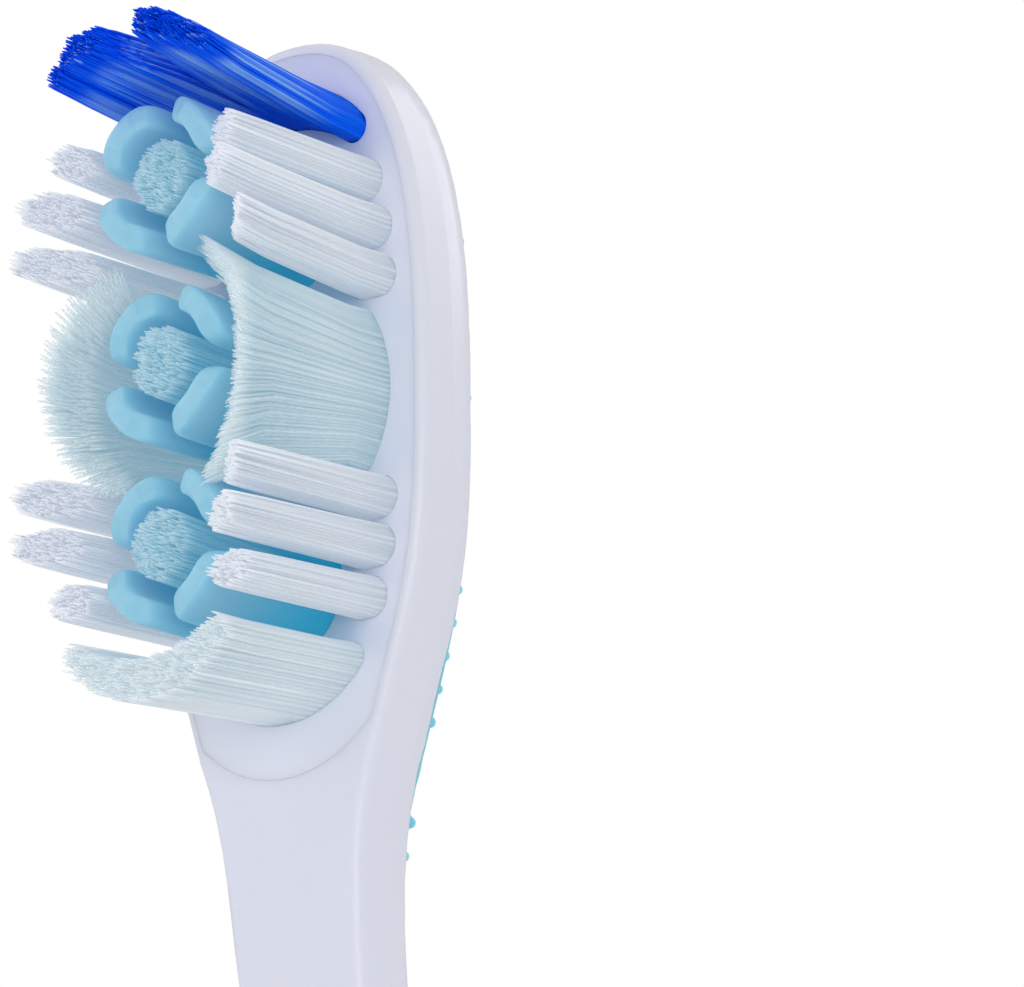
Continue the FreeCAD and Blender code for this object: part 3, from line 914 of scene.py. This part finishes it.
@dataclass
class SlotTuft(TuftPiece):
    """Side tuft with a slot-shaped section and a slanted top.

    Its side is 1 on the right and -1 on the left. Inner and outer are its limits
    from the middle of the head, each with its own length.
    """

    side: int = 1
    inner: float = 3.5
    outer: float = 6.0
    inner_length: float = 8.8
    outer_length: float = 10.0
    radius: float = 0.92
    squeeze: float = -0.1
    tilt: float = 0.0

    def inside(self, x: float, down: float) -> bool:
        """Tell whether a filament stands at a place of the face."""
        low, high = self.inner + self.radius, self.outer - self.radius
        nearest = min(max(self.side * x, low), high)
        return math.hypot(self.side * x - nearest, down - self.drop) < self.radius - self.strand_radius

    def fan(self, x: float, down: float) -> Point:
        """Further lean of the whole tuft, toward the heel where it is positive."""
        return 0.0, self.tilt

    def top(self, x: float, down: float) -> float:
        """Height of the trimmed tips above a place of the face."""
        slope = (self.outer_length - self.inner_length) / (self.outer - self.inner)
        return self.inner_length + slope * (self.side * x - self.inner)

    def reach(self) -> tuple[float, float, float, float]:
        """Sideways and downward limits of the section."""
        low, high = sorted((self.side * self.inner, self.side * self.outer))
        return low, high, self.drop - self.radius, self.drop + self.radius


@dataclass
class RoundTuft(TuftPiece):
    """Round tuft in the middle of a cup."""

    radius: float = 1.5
    length: float = 8.4
    dome: float = 0.12
    strand_radius: float = 0.07
    pitch: float = 0.115

    def inside(self, x: float, down: float) -> bool:
        """Tell whether a filament stands at a place of the face."""
        return math.hypot(x, down - self.drop) < self.radius - self.strand_radius

    def slope(self) -> float:
        """Rise toward the head tip, the same as its cup's."""
        return math.tan(math.radians(CUP_LEAN))

    def top(self, x: float, down: float) -> float:
        """Height of the trimmed tips, a little domed."""
        return self.length - self.dome * (x * x + (down - self.drop) ** 2)

    def reach(self) -> tuple[float, float, float, float]:
        """Sideways and downward limits of the section."""
        return -self.radius, self.radius, self.drop - self.radius, self.drop + self.radius


@dataclass
class ArcTuft(TuftPiece):
    """Crescent tuft that stands round a cup.

    The centre is the drop of that cup. The arc faces away from it, at an angle in
    degrees from the right toward the head tip. Middle and end are its thickness
    there, and a spread of 1 doubles the angles of the tips about the middle.
    """

    centre: float = CUP_DROPS[0]
    facing: float = 90.0
    middle: float = 2.0
    end: float = 1.5
    half_angle: float = 46.0
    outer: float = RING_RADIUS
    spread: float = 0.0

    def fan(self, x: float, down: float) -> Point:
        """Sideways and downward lean of the tip of a filament, about the ring."""
        angle, radius = self.polar(x, down)
        before, after = (math.radians(self.facing + turn) for turn in (angle, angle * (1 + self.spread)))
        return radius * (math.cos(after) - math.cos(before)), radius * (math.sin(before) - math.sin(after))

    def polar(self, x: float, down: float) -> Point:
        """Angle from the middle of the arc, in degrees, and radius."""
        turn = math.degrees(math.atan2(self.centre - down, x)) - self.facing
        return (turn + 180) % 360 - 180, math.hypot(x, down - self.centre)

    def inside(self, x: float, down: float) -> bool:
        """Tell whether a filament stands at a place of the face."""
        angle, radius = self.polar(x, down)
        inset = self.strand_radius
        if abs(angle) <= self.half_angle:
            share = (abs(angle) / self.half_angle) ** 2
            thick = self.middle + (self.end - self.middle) * share
            return self.outer - thick + inset < radius < self.outer - inset
        turn = math.radians(self.facing + math.copysign(self.half_angle, angle))
        round_radius = self.outer - self.end / 2
        end_x, end_down = round_radius * math.cos(turn), self.centre - round_radius * math.sin(turn)
        return math.hypot(x - end_x, down - end_down) < self.end / 2 - inset

    def reach(self) -> tuple[float, float, float, float]:
        """Sideways and downward limits of the section."""
        return -self.outer, self.outer, self.centre - self.outer, self.centre + self.outer


@dataclass
class TipTuft(ArcTuft):
    """Arc at the head tip, with two lobes and a notch between them.

    The lobes are lengths at distances from the middle of the head. The tilts of
    both sides are toward the heel, or toward the tip where they are negative. The
    inner sheen share is the side toward the cup that has lighter filaments, with
    painted sheen, on the left.
    """

    extra: float = 0.0
    squeeze: float = -0.3
    lean: float = 7.5
    notch: float = 0.45
    notch_reach: float = 3.0
    right_tilt: float = -0.25
    left_tilt: float = 0.1
    inner_sheen_share: float = 0.12
    lobes: tuple[Point, ...] = ((0.0, 8.4), (0.75, 11.2), (2.0, 11.35), (RING_RADIUS, 9.6))

    def fan(self, x: float, down: float) -> Point:
        """Lean of the tip of a filament, away from the notch and up or down by its lobe."""
        aside = math.copysign(self.notch * max(1 - abs(x) / self.notch_reach, 0), x)
        return aside, self.right_tilt if x > 0 else self.left_tilt

    def tone_of(self, root: Point, chance: random.Random) -> float:
        """Tone of a filament, as painted sheen and shade: lightest outside the right lobe and inside the left
        one, deeper toward the notch.
        """
        _, radius = self.polar(*root)
        outward = 1 - (self.outer - radius) / self.middle
        # Painted sheen and shade: each lobe's side is lighter or deeper by how light falls on it.
        if root[0] > 0:
            return min(chance.random() * 0.6 + outward * 0.6, 1.0) * min(root[0] / 2, 1)
        if outward < self.inner_sheen_share:
            return 0.7 + chance.random() * 0.3
        return chance.random() * 0.5 + max(outward - 0.5, 0)

    def slope(self) -> float:
        """Rise toward the head tip for each millimetre of height."""
        return math.tan(math.radians(self.lean))

    def top(self, x: float, down: float) -> float:
        """Height of the trimmed tips above a place of the face."""
        away = min(abs(x), self.lobes[-1][0])
        for (x0, up0), (x1, up1) in zip(self.lobes, self.lobes[1:]):
            if away <= x1:
                return up0 + (up1 - up0) * (away - x0) / (x1 - x0)
        return self.lobes[-1][1]


@dataclass
class CrescentTuft(ArcTuft):
    """Crescent with a domed or sloping top.

    The length is that of its outer middle. The end length is reached at the ends of
    a domed crescent and at the heel side of a sloping one, and the inner length on
    the side of the cup.
    """

    length: float = 9.6
    end_length: float = 9.4
    inner_length: float = 7.9
    sloping: bool = False
    bending: float = 3.0

    def top(self, x: float, down: float) -> float:
        """Height of the trimmed tips above a place of the face."""
        if self.sloping:
            share = (down - self.centre) / (self.outer + self.end)
            return self.length + (self.end_length - self.length) * min(max(share, 0), 1)
        share = (down - self.centre) / (self.outer * math.sin(math.radians(self.half_angle)) + self.end)
        slant = (self.length - self.inner_length) / self.middle * (abs(x) - self.outer)
        return self.length + slant + (self.end_length - self.length) * min(share * share, 1)


@dataclass(frozen=True)
class SideRow:
    """Place and trim of one pair of side tufts.

    It lies past the drop of a cup by a share of the ring radius. Its inner and outer
    limits are shares of half the head's width, each with a length in millimetres.
    The tilt toward the heel and the trim are the right tuft's own.
    """

    key: str
    cup: int
    past: float
    inner: float
    outer: float
    inner_length: float
    outer_length: float
    tilt: float = 0.0
    trim: float = 0.0

    def tuft(self, side: int, word: str) -> SlotTuft:
        """Make the tuft of one side.

        Args:
            side: 1 on the right and -1 on the left.
            word: The side's name.

        Returns:
            The tuft.
        """
        tilt, trim = (self.tilt, self.trim) if side > 0 else (0.0, 0.0)
        return SlotTuft(
            "side_tuft_" + word + "_" + self.key,
            CUP_DROPS[self.cup] + self.past * RING_RADIUS,
            WHITE_NYLON,
            "bristle_white",
            side=side,
            inner=self.inner * HALF_HEAD,
            outer=self.outer * HALF_HEAD,
            inner_length=self.inner_length - trim,
            outer_length=self.outer_length - trim,
            tilt=tilt,
        )


@dataclass
class BristleField:
    """Every tuft of the head."""

    side_rows: tuple[SideRow, ...] = (
        SideRow("upper_1", 0, -0.19, 0.442, 0.692, 8.6, 9.5),
        SideRow("upper_2", 0, 0.18, 0.449, 0.763, 9.0, 10.8, tilt=-0.4),
        SideRow("upper_3", 0, 0.546, 0.455, 0.795, 8.1, 11.0, tilt=-0.6, trim=0.9),
        SideRow("lower_1", 2, -0.532, 0.481, 0.814, 8.1, 10.6, trim=0.3),
        SideRow("lower_2", 2, -0.1765, 0.4615, 0.8, 8.9, 10.6, trim=0.2),
        SideRow("lower_3", 2, 0.193, 0.449, 0.742, 8.6, 8.8),
    )

    def tip_tuft(self) -> TuftPiece:
        """The blue tuft across the head tip."""
        cup = CUP_DROPS[0]
        return TipTuft(
            "tip_tuft", cup - RING_RADIUS, BLUE_NYLON, "bristle_blue", centre=cup, middle=1.85, end=1.4
        )

    def cup_tufts(self) -> list[TuftPiece]:
        """The round tufts inside the cups."""
        made = []
        for word, drop in zip(CUP_WORDS, CUP_DROPS):
            made.append(RoundTuft("cup_tuft_" + word, drop, SPECKLED_NYLON, "bristle_clear"))
        return made

    def crescents(self) -> list[TuftPiece]:
        """The crescents on both sides of the middle cup."""
        cup = CUP_DROPS[1]
        made = []
        for facing, word, spread in ((180.0, "left", 0.55), (0.0, "right", 0.8)):
            made.append(
                CrescentTuft(
                    "crescent_tuft_" + word,
                    cup,
                    CLEAR_NYLON,
                    "bristle_clear",
                    centre=cup,
                    facing=facing,
                    middle=1.65,
                    end=1.15,
                    half_angle=34.0,
                    spread=spread,
                )
            )
        return made

    def heel_tuft(self) -> TuftPiece:
        """The crescent at the heel."""
        cup = CUP_DROPS[2]
        return CrescentTuft(
            "heel_tuft",
            cup + RING_RADIUS,
            HEEL_NYLON,
            "bristle_clear",
            centre=cup,
            facing=-90.0,
            middle=1.9,
            end=1.3,
            half_angle=47.0,
            end_length=8.4,
            sloping=True,
        )

    def side_tufts(self) -> list[TuftPiece]:
        """The six side tufts of each side."""
        return [row.tuft(side, word) for side, word in ((-1, "left"), (1, "right")) for row in self.side_rows]

    def tufts(self) -> list[TuftPiece]:
        """All tufts: the tip's, the cups', the crescents and the side ones."""
        return [self.tip_tuft(), *self.cup_tufts(), *self.crescents(), self.heel_tuft(), *self.side_tufts()]

    def build(self) -> None:
        """Build every tuft."""
        for tuft in self.tufts():
            tuft.build()


def direction(azimuth: float, elevation: float) -> Vector:
    """Direction from the head at two angles.

    Args:
        azimuth: Degrees from the front toward the right.
        elevation: Degrees above the level.

    Returns:
        The direction, of length 1.
    """
    a, e = math.radians(azimuth), math.radians(elevation)
    return Vector((math.sin(a) * math.cos(e), -math.cos(a) * math.cos(e), math.sin(e)))


@dataclass(frozen=True)
class Lamp:
    """One soft white area lamp that looks at the head.

    Its azimuth is counted like the camera's and its elevation from the head, both
    in degrees. Its size is in millimetres and its power in watts.
    """

    name: str
    azimuth: float
    elevation: float
    size: float
    power: float

    def build(self, aim: Vector, distance: float) -> None:
        """Hang the lamp.

        Args:
            aim: The point that it looks at, in millimetres.
            distance: Its distance from there, in millimetres.
        """
        away = direction(self.azimuth, self.elevation)
        data = bpy.data.lights.new(self.name, "AREA")
        data.size, data.energy = self.size * MM, self.power
        lamp = placed(self.name, data)
        lamp.location = (aim + away * distance) * MM
        lamp.rotation_euler = (-away).to_track_quat("-Z", "Y").to_euler()


@dataclass
class Studio:
    """Floor, light and camera.

    Angles are in degrees and lengths in millimetres. The aim is a point of the head
    that lies at the aim pixel of the photograph.
    """

    azimuth: float = 42.5
    elevation: float = -14.0
    roll: float = -0.15
    distance: float = 650.0
    pixels_per_mm: float = 23.3
    frame_width: int = 1024
    frame_height: int = 987
    sensor: float = 36.0
    aim: tuple[float, float, float] = (0.0, FACE_Y, 172.0)
    aim_pixel: Point = (288.0, 449.0)
    clip: Point = (0.01, 100.0)
    floor_size: float = 6000.0
    floor_fade: Point = (150.0, 900.0)
    lamp_distance: float = 1200.0
    lamps: tuple[Lamp, ...] = (
        Lamp("key", 38.0, -6.0, 900.0, 4.6),
        Lamp("side", -60.0, 30.0, 700.0, 1.6),
        Lamp("back", 160.0, 35.0, 700.0, 2.2),
    )
    soft_light: float = 0.66
    white: Color = srgb(255, 255, 255)
    pale: Color = srgb(250, 250, 251)

    def axes(self) -> tuple[Vector, Vector, Vector]:
        """Right, up and backward directions of the camera."""
        a = math.radians(self.azimuth)
        right = Vector((math.cos(a), math.sin(a), 0))
        back = direction(self.azimuth, self.elevation)
        return right, back.cross(right), back

    def camera(self) -> None:
        """Place the camera at the photograph's viewing angle."""
        right, up, back = self.axes()
        turn = Matrix.Rotation(math.radians(-self.roll), 3, back)
        right, up = turn @ right, turn @ up
        across = (self.frame_width / 2 - self.aim_pixel[0]) / self.pixels_per_mm
        above = (self.aim_pixel[1] - self.frame_height / 2) / self.pixels_per_mm
        place = Vector(self.aim) + right * across + up * above + back * self.distance
        data = bpy.data.cameras.new("camera")
        data.sensor_width = self.sensor
        data.lens = self.pixels_per_mm * self.distance / self.frame_width * self.sensor
        data.clip_start, data.clip_end = self.clip
        camera = placed("camera", data)
        turned = Matrix((right, up, back)).transposed().to_4x4()
        camera.matrix_world = Matrix.Translation(place * MM) @ turned
        bpy.context.scene.camera = camera

    def world(self) -> None:
        """White surroundings, plainly white to the camera."""
        world = bpy.data.worlds.new("studio")
        world.use_nodes = True
        bpy.context.scene.world = world
        graph = Graph(world.node_tree)
        path = graph.node("ShaderNodeLightPath", output="Is Camera Ray")
        white = graph.node("ShaderNodeBackground", inputs={"Color": self.white, "Strength": 1.0})
        soft = graph.node("ShaderNodeBackground", inputs={"Color": self.white, "Strength": self.soft_light})
        mixed = graph.node("ShaderNodeMixShader", inputs={0: path, 1: soft, 2: white})
        graph.node("ShaderNodeOutputWorld", inputs={"Surface": mixed})

    def floor(self) -> None:
        """Plain pale floor under the brush, which fades into the white around it."""
        shape = bmesh.new()
        bmesh.ops.create_grid(shape, x_segments=1, y_segments=1, size=self.floor_size / 2 * MM)
        mesh = finished_mesh("floor", shape)
        obj = placed("floor", mesh)
        made = bpy.data.materials.new("floor")
        made.use_nodes = True
        graph = Graph(made.node_tree)
        inputs = {"Base Color": self.pale, "Roughness": 0.8}
        pale = graph.node("ShaderNodeBsdfPrincipled", inputs=inputs)
        clear = graph.node("ShaderNodeBsdfTransparent")
        x, y, _ = graph.place()
        away = ((x * x + y * y) ** 0.5).step(*self.floor_fade)
        below = graph.node("ShaderNodeNewGeometry", output="Backfacing")
        seen = graph.node("ShaderNodeLightPath", output="Is Camera Ray")
        share = away.math("MAXIMUM", below) * seen
        graph.surface(graph.node("ShaderNodeMixShader", inputs={0: share, 1: pale, 2: clear}))
        mesh.materials.append(made)

    def build(self) -> None:
        """Build the studio."""
        self.world()
        self.floor()
        for lamp in self.lamps:
            lamp.build(Vector(self.aim), self.lamp_distance)
        bpy.context.scene.view_settings.view_transform = "Standard"
        self.camera()


def main() -> None:
    """Build the brush and the studio, in order."""
    logging.basicConfig(level=logging.INFO, format="%(name)s %(message)s")
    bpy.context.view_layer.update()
    for part in (Handle(), TongueCleaner(), Cups(), BristleField(), Studio()):
        part.build()
        log.info("built %s", type(part).__name__)


if __name__ == "__main__":
    main()
